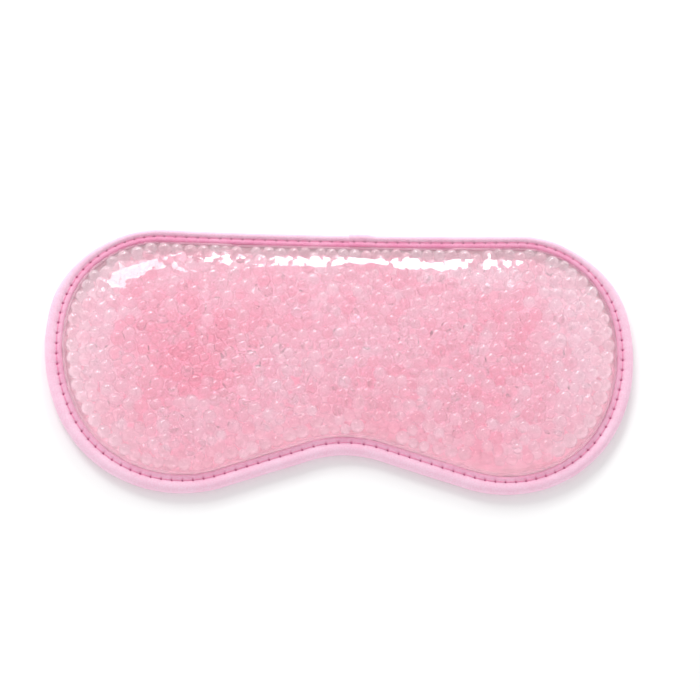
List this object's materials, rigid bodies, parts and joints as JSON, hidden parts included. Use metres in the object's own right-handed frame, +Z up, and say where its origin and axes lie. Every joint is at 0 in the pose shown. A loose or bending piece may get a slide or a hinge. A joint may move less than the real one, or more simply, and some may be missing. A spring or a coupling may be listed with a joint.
{
  "type": "eye pillow",
  "caption": "Gel-bead eye pillow: clear domed film pouch full of gel beads on a plush back panel, two lobes and a nose arch, plush tape bound and lockstitched all round.",
  "frame": {"origin": "on the resting face, under the middle of the bounding box", "axes": "+X along the width, from lobe to lobe; +Y towards the brow edge, so the nose arch opens towards -Y; +Z up, out of the clear front; the pillow lies on its plush back"},
  "size_m": [0.22, 0.102, 0.0141],
  "materials": {
    "plush_back": "short plush pile",
    "film": "clear glossy soft vinyl film",
    "gel": "water-clear gel, faintly pink",
    "plush_tape": "short plush pile",
    "thread": "spun polyester thread"
  },
  "bodies": {
    "root": {"plush_back_panel": "plush_back", "rear_film": "film", "front_film": "film", "gel_beads": "gel", "edge_binding": "plush_tape", "needle_stitches": "thread", "bobbin_stitches": "thread"}
  },
  "joints": []
}
